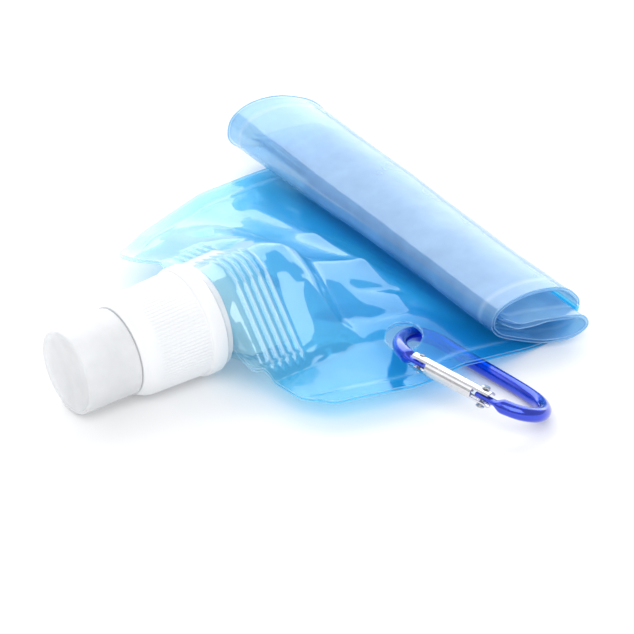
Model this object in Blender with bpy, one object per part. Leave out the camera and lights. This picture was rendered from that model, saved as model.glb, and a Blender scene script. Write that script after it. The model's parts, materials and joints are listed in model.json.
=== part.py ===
"""Folding water bottle: a flat film pouch with a welded spout, a screw collar with a pull-up drinking
valve and overcap, a base end rolled up under itself, and a small carabiner through a corner hole.

Blender 4.5, metres, +Z up. The bottle lies on the table: X runs along the roll and +Y from the mouth to
the rolled base. Shapes are written in millimetres in the bottle frame, whose x = 0 is the cap axis and
whose y = 0 is the end of the overcap; PLACEMENT then puts the middle of the outline on the origin.
"""

import math

import bmesh
import bpy
import numpy as np
from mathutils import Matrix, Vector

# ---- driving dimensions, millimetres and degrees ----
MM = 0.001
PLACEMENT = Vector((3.2, -67.3, 0.0))

CAP_TILT = 4.5
FLANGE_Y = 40.77
FLANGE_Z = 15.36
TURNED_SEGMENTS = 32

OVERCAP_LENGTH = 15.9
OVERCAP_BASE = 25.0
OVERCAP_R = 11.9
OVERCAP_WALL = 1.3
OVERCAP_END_WALL = 0.9

COLLAR_BASE = 0.4
COLLAR_SKIRT_R = 15.0
COLLAR_GRIP_R = 14.35
COLLAR_FRONT_R = 13.8
COLLAR_BORE_R = 12.75
COLLAR_DECK = 20.6
COLLAR_TOP = 24.7
VALVE_TOWER_R = 6.4
VALVE_BORE_R = 4.4
VALVE_POST_R = 1.9

NOZZLE_R = 8.2
NOZZLE_BORE_R = 6.7
NOZZLE_BASE = 25.1
NOZZLE_TOP = 34.6
NOZZLE_ORIFICE_R = 2.5

SPOUT_BORE_R = 9.7
NECK_R = 11.4
NECK_RIM = 19.0
FLANGE_R = 14.0
FLANGE_THICKNESS = 1.6
CANOE_R = 11.2
CANOE_TIP = 19.05
CANOE_FRONT = -5.0
CANOE_BACK = -16.4

THREAD_PITCH = 3.2
THREAD_DEPTH = 0.9
THREAD_START = 2.4
THREAD_END = 13.6

FILM_THICKNESS = 0.45
SEAL_HALF_GAP = 0.15
CANOE_FILM_R = 12.15
CANOE_FILM_TIP = 20.66

HOLE_CENTRE = (27.6, 86.6)
HOLE_R = 5.2
HOLE_FILM_SLOPE = 0.30
HOLE_SLOPE_REACH = 12.0

ROLL_BASE_SPREAD = 0.35
GUSSET_THICKNESS = 0.4
ROLL_COLUMNS = 6

ROD_R = 1.95
ROD_SIDES = 12
TONGUE_HALF_WIDTH = 1.45
TONGUE_HALF_THICKNESS = 0.8
GATE_R = 2.2
GATE_WALL = 0.45
GATE_SLOT_HALF = 1.1
RIVET_R = 0.5
RIVET_HEAD_R = 1.2
PIN_R = 0.55
PIN_GAP = 0.3
SPRING_WIRE_R = 0.25

# ---- outlines of the flat pouch, seen from above ----
# left and right edges: (distance from the overcap end, x)
LEFT_EDGE = ((45, -46.5), (50, -49), (57, -54), (65, -57.5), (83, -65), (96, -67.5), (114, -74), (134, -80))
RIGHT_EDGE = ((46, 40), (50, 42), (57, 44.5), (67, 46.5), (78, 47), (98, 46.8), (109, 44.5), (134, 38.5))
# front edge: (x, distance from the overcap end); the neck between the corners reaches the flange
FRONT_EDGE = ((-46.5, 45.2), (-26, 45.3), (-16.5, 42.9), (0, 42.6), (16.5, 42.9), (26, 45.5), (42, 50.3))
NECK_Y = 42.6
NECK_Y_UNDER = 44.0
NECK_BLEND = 20.0
# heights of the middle of the two films along the cap axis and along the two side edges
CENTRE_HEIGHT = ((60, 16.6), (66, 14.5), (75, 11), (85, 9), (98, 6.6), (105, 4.6), (111, 3), (118, 1.2), (122, 0.65))
LEFT_HEIGHT = ((45, 10), (60, 8.5), (83, 7.5), (97, 6.3), (107, 4.2), (116, 1.8), (122, 0.65))
RIGHT_HEIGHT = ((46, 8.5), (60, 8.5), (68, 7.4), (78, 6), (92, 7.4), (99, 6.2), (107, 4.2), (116, 1.8), (122, 0.65))
# how far the pouch is puffed out above and below the middle of the films
PUFF_ABOVE = ((60, 11.5), (68, 7), (76, 6), (86, 5), (96, 3), (104, 1), (110, 0))
PUFF_BELOW = ((60, 11.5), (68, 6), (75, 4), (86, 3), (96, 1.5), (104, 0.5), (110, 0))

BODY_ROWS = (NECK_Y_UNDER, 45, 48, 52, 56, 60, 64, 69, 75, 81, 85, 89, 94, 99, 105, 111, 117, 122, 127)
BODY_COLUMNS = (0.08, 0.16, 0.25, 0.34, 0.44, 0.53, 0.62, 0.71, 0.8, 0.92, 1.0)
# start of the last fold, where the pouch turns upwards: (y, z, angle of the film)
FOLD_START = ((129.5, 0.85, 12), (132, 1.9, 35), (133.9, 3.6, 62), (134.9, 6.2, 90))

# the rolled base: (y, z, left edge x, right edge x) along the middle of the two films
ROLL_PATH = (
    (134.9, 6.6, -80, 38.5),
    (134.2, 9.2, -80, 39),
    (131, 12.6, -80.5, 39.3),
    (126.6, 14.8, -81, 39.5),
    (119.4, 16.2, -82.5, 39.5),
    (113, 15.7, -84, 39.5),
    (108.4, 14, -84.5, 39.5),
    (106.8, 11, -84.5, 39.5),
    (107.5, 8.4, -84.5, 39.5),
    (110.4, 6, -84, 40),
    (118.8, 2.9, -81, 42),
    (124, 2.6, -79, 44),
    (128.8, 3.3, -78, 45.5),
    (131.9, 5.7, -77, 46.5),
    (130.3, 8.8, -77, 46.5),
    (124.5, 10.2, -77, 46),
    (119.6, 10.5, -77.5, 45),
    (115, 9.9, -78.5, 43.5),
    (112.6, 9.6, -79, 42),
    (109.5, 11, -79, 40),
)

# the carabiner lies in a sloping plane through its far bend
CARABINER_ORIGIN = Vector((69.66, 100.7, 3.06))
CARABINER_YAW = 14.5
CARABINER_PITCH = 4.2
CARABINER_ROLL = 23.0
# its bent rod from the nose tongue to the hinge tang: (along, across, half thickness)
NOSE_TIP = -27.2
ROD_PATH = (
    (NOSE_TIP, -16.3, TONGUE_HALF_THICKNESS),
    (-31.6, -16.3, TONGUE_HALF_THICKNESS),
    (-33.4, -15.9, ROD_R),
    (-37.5, -13.4, ROD_R),
    (-41, -9.7, ROD_R),
    (-43.8, -5, ROD_R),
    (-45.7, 0, ROD_R),
    (-46, 4, ROD_R),
    (-43.8, 7.3, ROD_R),
    (-40, 8.2, ROD_R),
    (-33, 7.2, ROD_R),
    (-24, 6.1, ROD_R),
    (-14, 5.2, ROD_R),
    (-7, 4.1, ROD_R),
    (-1.5, 1.9, ROD_R),
    (2.8, -2.6, ROD_R),
    (4.3, -8, ROD_R),
    (2.6, -12.8, ROD_R),
    (-1.6, -15.2, ROD_R),
    (-4.2, -15.6, TONGUE_HALF_THICKNESS),
    (-9.8, -15.6, TONGUE_HALF_THICKNESS),
)
NOSE_BEND = (-44.8, -3, 0)
RIVET_AT = (-8.0, -15.6)
PIN_AT = (-28.9, -16.3)
GATE_FRONT = -31.0
GATE_BACK = -5.7
GATE_SLOT_LENGTH = 5.0
GATE_OPENING = 38.0


# ---- frames ----
def fitment_frame():
    """Frame of the cap and spout: origin on the front of the flange, +Z out of the mouth."""
    turn = Matrix.Rotation(math.radians(90 + CAP_TILT), 4, "X")
    return Matrix.Translation((0, FLANGE_Y, FLANGE_Z)) @ turn


def carabiner_frame():
    """Frame of the carabiner: X along it towards the far bend, Y across towards the spine."""
    yaw, pitch, roll = (math.radians(a) for a in (CARABINER_YAW, CARABINER_PITCH, CARABINER_ROLL))
    along = Vector((math.cos(yaw) * math.cos(pitch), math.sin(yaw) * math.cos(pitch), -math.sin(pitch)))
    level = Vector((-math.sin(yaw), math.cos(yaw), 0))
    across = level * math.cos(roll) - along.cross(level) * math.sin(roll)
    turn = Matrix((along, across, along.cross(across))).transposed().to_4x4()
    return Matrix.Translation(CARABINER_ORIGIN) @ turn


FITMENT = fitment_frame()
CARABINER = carabiner_frame()
POUCH = Matrix.Identity(4)


# ---- helpers ----
def clear_scene():
    for obj in list(bpy.data.objects):
        bpy.data.objects.remove(obj, do_unlink=True)


def material(name, colour, roughness, metallic=0.0, alpha=1.0):
    made = bpy.data.materials.new(name)
    made.use_nodes = True
    shader = made.node_tree.nodes["Principled BSDF"]
    shader.inputs["Base Color"].default_value = (*colour, 1.0)
    shader.inputs["Roughness"].default_value = roughness
    shader.inputs["Metallic"].default_value = metallic
    shader.inputs["Alpha"].default_value = alpha
    return made


def add_object(name, points, faces, made_of, frame, pivot=None, smooth=40.0):
    """Makes an object from points in millimetres of the given frame, with its origin on the pivot."""
    world = [frame @ Vector(point) for point in points]
    origin = frame @ Vector(pivot) if pivot is not None else Vector((0, 0, 0)) - PLACEMENT
    mesh = bpy.data.meshes.new(name)
    mesh.from_pydata([(point - origin) * MM for point in world], [], faces)
    shell = bmesh.new()
    shell.from_mesh(mesh)
    bmesh.ops.recalc_face_normals(shell, faces=shell.faces)
    shell.to_mesh(mesh)
    shell.free()
    for polygon in mesh.polygons:
        polygon.use_smooth = True
    mesh.set_sharp_from_angle(angle=math.radians(smooth))
    obj = bpy.data.objects.new(name, mesh)
    obj.location = (origin + PLACEMENT) * MM
    obj.data.materials.append(made_of)
    bpy.context.scene.collection.objects.link(obj)
    return obj


def cut(obj, cutter):
    """Takes the cutter out of the object."""
    cutter.hide_render = True
    cutter.display_type = "WIRE"
    modifier = obj.modifiers.new(cutter.name, "BOOLEAN")
    modifier.operation = "DIFFERENCE"
    modifier.solver = "EXACT"
    modifier.object = cutter


def ring_faces(ring_count, size, closed):
    """Quads between rings of equal size; closed also joins the last ring to the first."""
    faces = []
    for ring in range(ring_count if closed else ring_count - 1):
        following = (ring + 1) % ring_count
        for k in range(size):
            after = (k + 1) % size
            faces.append((ring * size + k, ring * size + after, following * size + after, following * size + k))
    return faces


def swept_solid(rings):
    """Points and faces of a solid through a row of rings, closed with a flat face at both ends."""
    size = len(rings[0])
    points = [point for ring in rings for point in ring]
    faces = ring_faces(len(rings), size, False)
    faces.append(tuple(range(size)))
    faces.append(tuple(range(len(points) - size, len(points))))
    return points, faces


def turned_points(radius, height, thread=0.0, side=0.0):
    """One ring of a turned piece. A thread makes its radius wave along a helix."""
    ring = []
    for k in range(TURNED_SEGMENTS):
        angle = 2 * math.pi * k / TURNED_SEGMENTS
        wave = math.cos(2 * math.pi * height / THREAD_PITCH - angle) + side
        reach = radius + thread * wave
        ring.append((reach * math.cos(angle), reach * math.sin(angle), height))
    return ring


def turned_solid(outline):
    """Revolves a closed outline of (radius, height, thread, side); a radius of 0 is a point on the axis."""
    rows, points, faces = [], [], []
    for radius, height, *thread in outline:
        start = len(points)
        if radius == 0:
            points.append((0, 0, height))
            rows.append([start] * TURNED_SEGMENTS)
        else:
            points.extend(turned_points(radius, height, *thread))
            rows.append(list(range(start, start + TURNED_SEGMENTS)))
    for row, below in enumerate(rows):
        above = rows[(row + 1) % len(rows)]
        for k in range(TURNED_SEGMENTS):
            after = (k + 1) % TURNED_SEGMENTS
            corners = dict.fromkeys((below[k], below[after], above[after], above[k]))
            if len(corners) > 2:
                faces.append(tuple(corners))
    return points, faces


def thread_rows(radius, side):
    """Outline rows of a screw thread that fades in and out over half a turn."""
    rows = []
    step = THREAD_PITCH / 4
    for k in range(round((THREAD_END - THREAD_START) / step) + 1):
        height = THREAD_START + k * step
        fade = min(1, (height - THREAD_START) / step / 2, (THREAD_END - height) / step / 2)
        rows.append((radius, height, fade * THREAD_DEPTH / 2, side))
    return rows


def cylinder_along(centre, axis, radius, half_length, sides=24):
    """Points and faces of a round rod through the centre along one of the three axes of its frame."""
    rings = []
    for end in (-half_length, half_length):
        ring = []
        for k in range(sides):
            angle = 2 * math.pi * k / sides
            offset = [radius * math.cos(angle), radius * math.sin(angle)]
            offset.insert(axis, end)
            ring.append(tuple(c + o for c, o in zip(centre, offset)))
        rings.append(ring)
    return swept_solid(rings)


def box(low, high):
    rings = [[(low[0], low[1], z), (high[0], low[1], z), (high[0], high[1], z), (low[0], high[1], z)]
             for z in (low[2], high[2])]
    return swept_solid(rings)


def smooth_path(knots, steps):
    """Points of a smooth curve through the knots, with the given number of steps between two of them."""
    knots = np.array(knots, float)
    ends = np.vstack((2 * knots[0] - knots[1], knots, 2 * knots[-1] - knots[-2]))
    found = []
    for k in range(len(knots) - 1):
        before, start, end, after = ends[k:k + 4]
        for t in np.arange(steps) / steps:
            bend = (2 * before - 5 * start + 4 * end - after) * t ** 2
            twist = (3 * start - before - 3 * end + after) * t ** 3
            found.append(start + 0.5 * ((end - before) * t + bend + twist))
    return np.array(found + [knots[-1]])


def at(table, value):
    """Height or edge between the rows of a table."""
    where, what = zip(*table)
    return float(np.interp(value, where, what))


# ---- cap and spout ----
def build_overcap(plastic):
    inside = OVERCAP_R - OVERCAP_WALL
    top = OVERCAP_BASE + OVERCAP_LENGTH
    outline = (
        (0, top - 0.4),
        (OVERCAP_R - 1.4, top - 0.4),
        (OVERCAP_R - 1.1, top),
        (OVERCAP_R - 0.7, top),
        (OVERCAP_R - 0.35, top - 0.25),
        (OVERCAP_R - 0.22, top - 0.8),
        (OVERCAP_R, OVERCAP_BASE),
        (inside, OVERCAP_BASE),
        (inside - 0.1, top - 1.7),
        (inside - 0.5, top - 0.4 - OVERCAP_END_WALL),
        (0, top - 0.4 - OVERCAP_END_WALL),
    )
    return add_object("overcap", *turned_solid(outline), plastic, FITMENT, (0, 0, OVERCAP_BASE))


def build_nozzle(plastic):
    grip = NOZZLE_R - 0.5
    outline = (
        (NOZZLE_BORE_R, NOZZLE_BASE),
        (NOZZLE_R, NOZZLE_BASE),
        (NOZZLE_R, NOZZLE_BASE + 1.2),
        (grip, NOZZLE_BASE + 2.2),
        (grip, NOZZLE_BASE + 5.7),
        (NOZZLE_R, NOZZLE_BASE + 6.9),
        (NOZZLE_R, NOZZLE_TOP - 0.7),
        (grip, NOZZLE_TOP),
        (NOZZLE_ORIFICE_R, NOZZLE_TOP),
        (NOZZLE_ORIFICE_R, NOZZLE_TOP - 1.2),
        (NOZZLE_BORE_R, NOZZLE_TOP - 1.2),
    )
    return add_object("nozzle", *turned_solid(outline), plastic, FITMENT, (0, 0, NOZZLE_BASE))


def build_collar(plastic):
    web_top = COLLAR_DECK + 0.9
    spigot = OVERCAP_R - OVERCAP_WALL - 0.4
    tip = NOZZLE_ORIFICE_R - 0.3
    outline = [
        (0, COLLAR_DECK),
        (COLLAR_BORE_R, COLLAR_DECK),
        *reversed(thread_rows(COLLAR_BORE_R, -1)),
        (COLLAR_BORE_R, COLLAR_BASE),
        (COLLAR_SKIRT_R - 0.4, COLLAR_BASE),
        (COLLAR_SKIRT_R, COLLAR_BASE + 0.4),
        (COLLAR_SKIRT_R, COLLAR_BASE + 3.8),
        (COLLAR_SKIRT_R - 0.25, COLLAR_BASE + 4.2),
        (COLLAR_GRIP_R, COLLAR_BASE + 4.5),
        (COLLAR_FRONT_R, COLLAR_DECK - 0.2),
        (COLLAR_FRONT_R - 0.3, COLLAR_TOP - 2.9),
        (COLLAR_FRONT_R - 0.9, COLLAR_TOP - 1.5),
        (COLLAR_FRONT_R - 1.35, COLLAR_TOP - 0.9),
        (COLLAR_FRONT_R - 1.5, COLLAR_TOP),
        (spigot, COLLAR_TOP),
        (spigot, COLLAR_TOP + 2.1),
        (spigot - 0.4, COLLAR_TOP + 2.5),
        (NOZZLE_R + 0.4, COLLAR_TOP + 2.5),
        (NOZZLE_R + 0.4, COLLAR_TOP),
        (VALVE_TOWER_R, COLLAR_TOP),
        (VALVE_TOWER_R, COLLAR_TOP + 6.8),
        (VALVE_BORE_R, COLLAR_TOP + 6.8),
        (VALVE_BORE_R, web_top),
        (VALVE_POST_R, web_top),
        (VALVE_POST_R, NOZZLE_TOP - 1.4),
        (tip, NOZZLE_TOP - 1.1),
        (tip, NOZZLE_TOP - 0.4),
        (0, NOZZLE_TOP - 0.2),
    ]
    collar = add_object("collar", *turned_solid(outline), plastic, FITMENT, (0, 0, COLLAR_BASE))
    middle = (VALVE_BORE_R + VALVE_POST_R) / 2
    for k in range(3):
        angle = 2 * math.pi * k / 3
        centre = (middle * math.cos(angle), middle * math.sin(angle), COLLAR_DECK + 0.5)
        hole = cylinder_along(centre, 2, 0.9, 1.5, 12)
        cut(collar, add_object(f"flow_hole_cutter_{k}", *hole, plastic, FITMENT))
    return collar


def build_seal_ring(silicone):
    low, high = NECK_RIM + 0.3, COLLAR_DECK - 0.3
    inner, outer = SPOUT_BORE_R - 0.3, COLLAR_BORE_R - 0.85
    outline = ((inner, low), (outer, low), (outer, high), (inner, high))
    return add_object("seal_ring", *turned_solid(outline), silicone, FITMENT, (0, 0, low))


def canoe_reach(angle, radius, tip):
    """Distance from the axis to a circle drawn out to a point on each side."""
    side = abs(math.acos(max(-1.0, min(1.0, math.cos(angle)))))
    side = min(side, math.pi - side)
    slope = math.acos(radius / tip)
    if side >= slope:
        return radius
    return radius / math.cos(side - slope)


def canoe_ring(height, tip):
    ring = []
    for k in range(TURNED_SEGMENTS):
        angle = 2 * math.pi * k / TURNED_SEGMENTS
        reach = canoe_reach(angle, CANOE_R, tip)
        ring.append((reach * math.cos(angle), reach * math.sin(angle), height))
    return ring


def build_spout(plastic):
    """Threaded neck, flange and the boat-shaped fin that the films are welded to, with one bore."""
    rings = [
        turned_points(SPOUT_BORE_R, NECK_RIM),
        turned_points(NECK_R - 0.4, NECK_RIM),
        turned_points(NECK_R, NECK_RIM - 0.5),
    ]
    for row in reversed(thread_rows(NECK_R, 1)):
        rings.append(turned_points(*row))
    rings += [
        turned_points(NECK_R, 0),
        turned_points(FLANGE_R, 0),
        turned_points(FLANGE_R, -FLANGE_THICKNESS),
        turned_points(CANOE_R, -FLANGE_THICKNESS),
        canoe_ring(-FLANGE_THICKNESS - 0.6, CANOE_R + 0.01),
        canoe_ring(CANOE_FRONT, CANOE_TIP),
        canoe_ring(CANOE_BACK, CANOE_TIP),
        turned_points(SPOUT_BORE_R, CANOE_BACK),
    ]
    points = [point for ring in rings for point in ring]
    faces = ring_faces(len(rings), TURNED_SEGMENTS, True)
    return add_object("spout", points, faces, plastic, FITMENT, (0, 0, 0))


# ---- pouch films ----
def body_columns():
    return [-u for u in reversed(BODY_COLUMNS)] + [0.0] + list(BODY_COLUMNS)


def body_place(row, u):
    """x and y of a point of the flat pouch: u runs from the left edge to the right edge."""
    fade = max(0.0, 1 - (row - NECK_Y) / NECK_BLEND)
    corner_x, corner_y = FRONT_EDGE[0] if u < 0 else FRONT_EDGE[-1]
    edge = at(LEFT_EDGE if u < 0 else RIGHT_EDGE, row + (corner_y - NECK_Y) * fade)
    x = abs(u) * edge
    return x, row + (at(FRONT_EDGE, x) - NECK_Y) * fade


def body_height(x, y, u):
    """Height of the middle of the two films."""
    if y < 60:
        centre = FLANGE_Z + (y - FLANGE_Y) * math.tan(math.radians(CAP_TILT))
    else:
        centre = at(CENTRE_HEIGHT, y)
    edge = at(LEFT_HEIGHT if u < 0 else RIGHT_HEIGHT, y)
    half_width = abs(at(LEFT_EDGE if u < 0 else RIGHT_EDGE, y))
    flat = at(((NECK_Y, 14.6), (45, CANOE_FILM_TIP), (60, CANOE_FILM_TIP), (78, 4)), y)
    reach = at(((60, 30), (80, half_width)), y)
    fall = min(1.0, max(0.0, (abs(x) - flat) / (reach - flat)))
    away = Vector((x, y)) - Vector(HOLE_CENTRE)
    uphill = away.dot(Vector((-0.6, 0.8)))
    slope = HOLE_FILM_SLOPE * uphill * math.exp(-(away.length / HOLE_SLOPE_REACH) ** 2)
    return edge + (centre - edge) * (1 - fall) + slope


def body_swell(x, y, u, puff):
    """How far a film stands off the middle: over the spout, over the water space, or flat at the seals."""
    seal = SEAL_HALF_GAP + FILM_THICKNESS
    tip = at(((NECK_Y, 14.5), (45, CANOE_FILM_TIP)), y)
    slope = math.acos(CANOE_FILM_R / tip)
    if abs(x) < CANOE_FILM_R * math.cos(slope):
        over_spout = math.sqrt(CANOE_FILM_R ** 2 - x ** 2)
    else:
        over_spout = (CANOE_FILM_R - abs(x) * math.cos(slope)) / math.sin(slope)
    margin = 0.9 if u < 0 else at(((60, 0.9), (74, 0.36), (98, 0.36), (112, 0.9)), y)
    dome = max(0.0, 1 - (u / margin) ** 2) ** 1.5
    spout_share = at(((60.5, 1), (70, 0)), y)
    return seal + spout_share * max(0.0, over_spout - seal) + (1 - spout_share) * at(puff, y) * dome


def film_solid(outer, inner):
    """A sheet between two grids of points, closed round its edge."""
    rows, columns = len(outer), len(outer[0])
    count = rows * columns
    points = [point for grid in (outer, inner) for row in grid for point in row]
    faces = []
    for r in range(rows - 1):
        for c in range(columns - 1):
            a, b = r * columns + c, (r + 1) * columns + c
            faces.append((a, a + 1, b + 1, b))
            faces.append((count + a, count + b, count + b + 1, count + a + 1))
    rim = list(range(columns))
    rim += [r * columns + columns - 1 for r in range(1, rows)]
    rim += [(rows - 1) * columns + c for c in range(columns - 2, -1, -1)]
    rim += [r * columns for r in range(rows - 2, 0, -1)]
    for here, after in zip(rim, rim[1:] + rim[:1]):
        faces.append((here, count + here, count + after, after))
    return points, faces


def build_body_film(name, side, rows, puff, film):
    """One face of the pouch from the neck to the start of the last fold; side is 1 above, -1 below."""
    outer, inner = [], []
    for row in rows:
        outer_row, inner_row = [], []
        for u in body_columns():
            x, y = body_place(row, u)
            middle = body_height(x, y, u)
            swell = body_swell(x, y, u, puff)
            outer_row.append((x, y, middle + side * swell))
            inner_row.append((x, y, middle + side * (swell - FILM_THICKNESS)))
        outer.append(outer_row)
        inner.append(inner_row)
    for y, z, angle in FOLD_START:
        normal = Vector((0, -math.sin(math.radians(angle)), math.cos(math.radians(angle)))) * side
        xs = [abs(u) * at(LEFT_EDGE if u < 0 else RIGHT_EDGE, y) for u in body_columns()]
        middle = [Vector((x, y, z)) for x in xs]
        inner.append([point + normal * SEAL_HALF_GAP for point in middle])
        outer.append([point + normal * (SEAL_HALF_GAP + FILM_THICKNESS) for point in middle])
    sheet = add_object(name, *film_solid(outer, inner), film, POUCH, (0, NECK_Y, FLANGE_Z), 30)
    hole = cylinder_along((*HOLE_CENTRE, 7), 2, HOLE_R, 12, 32)
    cut(sheet, add_object(f"{name}_hole_cutter", *hole, film, POUCH))
    return sheet


def roll_stations():
    """Middle line of the rolled films: point, unit normal, left and right edge, distance from the base end."""
    path = smooth_path(ROLL_PATH, 2)
    line = path[:, :2]
    direction = np.gradient(line, axis=0)
    direction /= np.linalg.norm(direction, axis=1)[:, None]
    direction[0] = (0, 1)
    lengths = np.append(np.linalg.norm(np.diff(line, axis=0), axis=1), 0)
    to_end = np.cumsum(lengths[::-1])[::-1]
    normal = np.stack((-direction[:, 1], direction[:, 0]), axis=1)
    return list(zip(line, normal, path[:, 2], path[:, 3], to_end))


def roll_sheet(name, near, far, made_of, first=0, trim=0.0):
    """A sheet between two distances from the middle line, each a function of the distance to the base end."""
    grids = []
    for offset in (far, near):
        grid = []
        for line, normal, left, right, to_end in roll_stations()[first:]:
            y, z = line + normal * offset(to_end)
            grid.append([(x, y, z) for x in np.linspace(left + trim, right - trim, ROLL_COLUMNS)])
        grids.append(grid)
    hinge = (0, ROLL_PATH[0][0] + SEAL_HALF_GAP + FILM_THICKNESS, (FOLD_START[-1][1] + ROLL_PATH[0][1]) / 2)
    return add_object(name, *film_solid(*grids), made_of, POUCH, hinge, 30)


def base_spread(to_end):
    """The base end is thicker: the gusset strip lies between its two films."""
    return ROLL_BASE_SPREAD * min(1.0, max(0.0, (11.0 - to_end) / 3.0))


def build_roll(inside_film, outside_film, strip):
    low, high = SEAL_HALF_GAP, SEAL_HALF_GAP + FILM_THICKNESS
    roll_sheet("rolled_front_film", lambda d: low + base_spread(d), lambda d: high + base_spread(d), inside_film)
    roll_sheet("rolled_back_film", lambda d: -low - base_spread(d), lambda d: -high - base_spread(d), outside_film)
    start = next(k for k, station in enumerate(roll_stations()) if station[4] < 7.5)
    half = GUSSET_THICKNESS / 2
    roll_sheet("base_gusset", lambda d: -half, lambda d: half, strip, start, 1.5)


# ---- carabiner ----
def rod_rings(path, sides, half_width):
    """Elliptical rings along a flat path of (along, across, half thickness)."""
    line = path[:, :2]
    direction = np.gradient(line, axis=0)
    direction /= np.linalg.norm(direction, axis=1)[:, None]
    rings = []
    for (along, across, thickness), (dx, dy) in zip(path, direction):
        width = half_width(thickness)
        ring = []
        for k in range(sides):
            angle = 2 * math.pi * k / sides
            side = width * math.cos(angle)
            ring.append((along - dy * side, across + dx * side, thickness * math.sin(angle)))
        rings.append(ring)
    return rings


def build_carabiner_body(anodised):
    def half_width(thickness):
        share = (thickness - TONGUE_HALF_THICKNESS) / (ROD_R - TONGUE_HALF_THICKNESS)
        return TONGUE_HALF_WIDTH + (ROD_R - TONGUE_HALF_WIDTH) * max(0.0, min(1.0, share))

    path = smooth_path(ROD_PATH, 3)
    path[:, 2] = np.clip(path[:, 2], TONGUE_HALF_THICKNESS, ROD_R)
    solid = swept_solid(rod_rings(path, ROD_SIDES, half_width))
    rod = add_object("carabiner_body", *solid, anodised, CARABINER, NOSE_BEND)
    rivet_hole = cylinder_along((*RIVET_AT, 0), 2, RIVET_R + PIN_GAP, 4, 16)
    cut(rod, add_object("tang_hole_cutter", *rivet_hole, anodised, CARABINER))
    catch = PIN_R + PIN_GAP + 0.1
    pin_hole = cylinder_along((*PIN_AT, 0), 2, catch, 4, 16)
    cut(rod, add_object("notch_cutter_round", *pin_hole, anodised, CARABINER))
    notch = box((PIN_AT[0] - catch, PIN_AT[1], -3.9), (PIN_AT[0] + catch, PIN_AT[1] + 3, 3.9))
    cut(rod, add_object("notch_cutter_mouth", *notch, anodised, CARABINER))
    return rod


def build_gate(steel):
    """A bent channel, open towards the spine, with a slot at each end for the tang and the nose tongue."""
    arc = np.radians(np.linspace(GATE_OPENING, 360 - GATE_OPENING, 19))
    section = [(GATE_R * math.cos(a), GATE_R * math.sin(a)) for a in arc]
    section += [((GATE_R - GATE_WALL) * math.cos(a), (GATE_R - GATE_WALL) * math.sin(a)) for a in reversed(arc)]
    rings = []
    for along, across in ((GATE_FRONT, PIN_AT[1]), (GATE_BACK, RIVET_AT[1])):
        rings.append([(along, across + side, high) for side, high in section])
    gate = add_object("gate", *swept_solid(rings), steel, CARABINER, (*RIVET_AT, 0))
    for name, start, end, across in (
        ("nose", GATE_FRONT - 1, GATE_FRONT + GATE_SLOT_LENGTH, PIN_AT[1]),
        ("tang", GATE_BACK - GATE_SLOT_LENGTH, GATE_BACK + 1, RIVET_AT[1]),
    ):
        slot = box((start, across - 4, -GATE_SLOT_HALF), (end, across - 0.5, GATE_SLOT_HALF))
        cut(gate, add_object(f"gate_{name}_slot_cutter", *slot, steel, CARABINER))
    for name, place, radius in (("rivet", RIVET_AT, RIVET_R), ("pin", PIN_AT, PIN_R)):
        bore = cylinder_along((*place, 0), 2, radius + PIN_GAP, 4, 16)
        cut(gate, add_object(f"gate_{name}_hole_cutter", *bore, steel, CARABINER))
    return gate


def build_gate_rivet(steel):
    """A shaft through the gate and the tang, with a flat head on each side."""
    stations = (
        (RIVET_HEAD_R - 0.25, -GATE_R - 0.75),
        (RIVET_HEAD_R, -GATE_R - 0.55),
        (RIVET_HEAD_R, -GATE_R - 0.3),
        (RIVET_R, -GATE_R - 0.3),
        (RIVET_R, GATE_R + 0.3),
        (RIVET_HEAD_R, GATE_R + 0.3),
        (RIVET_HEAD_R, GATE_R + 0.55),
        (RIVET_HEAD_R - 0.25, GATE_R + 0.75),
    )
    rings = []
    for radius, high in stations:
        angles = [2 * math.pi * k / 16 for k in range(16)]
        rings.append([(RIVET_AT[0] + radius * math.cos(a), RIVET_AT[1] + radius * math.sin(a), high)
                      for a in angles])
    return add_object("gate_rivet", *swept_solid(rings), steel, CARABINER, (*RIVET_AT, 0))


def build_catch_pin(steel):
    pin = cylinder_along((*PIN_AT, 0), 2, PIN_R, GATE_R + 0.2, 12)
    return add_object("catch_pin", *pin, steel, CARABINER, (*RIVET_AT, 0))


def build_gate_spring(steel):
    """A thin bent wire that lies in the channel of the gate."""
    knots = ((-11.5, -15.3, SPRING_WIRE_R), (-14, -16.3, SPRING_WIRE_R), (-20, -16.4, SPRING_WIRE_R),
             (-23, -15.6, SPRING_WIRE_R))
    wire = rod_rings(smooth_path(knots, 3), 8, lambda thickness: SPRING_WIRE_R)
    return add_object("gate_spring", *swept_solid(wire), steel, CARABINER, (*RIVET_AT, 0))


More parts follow.
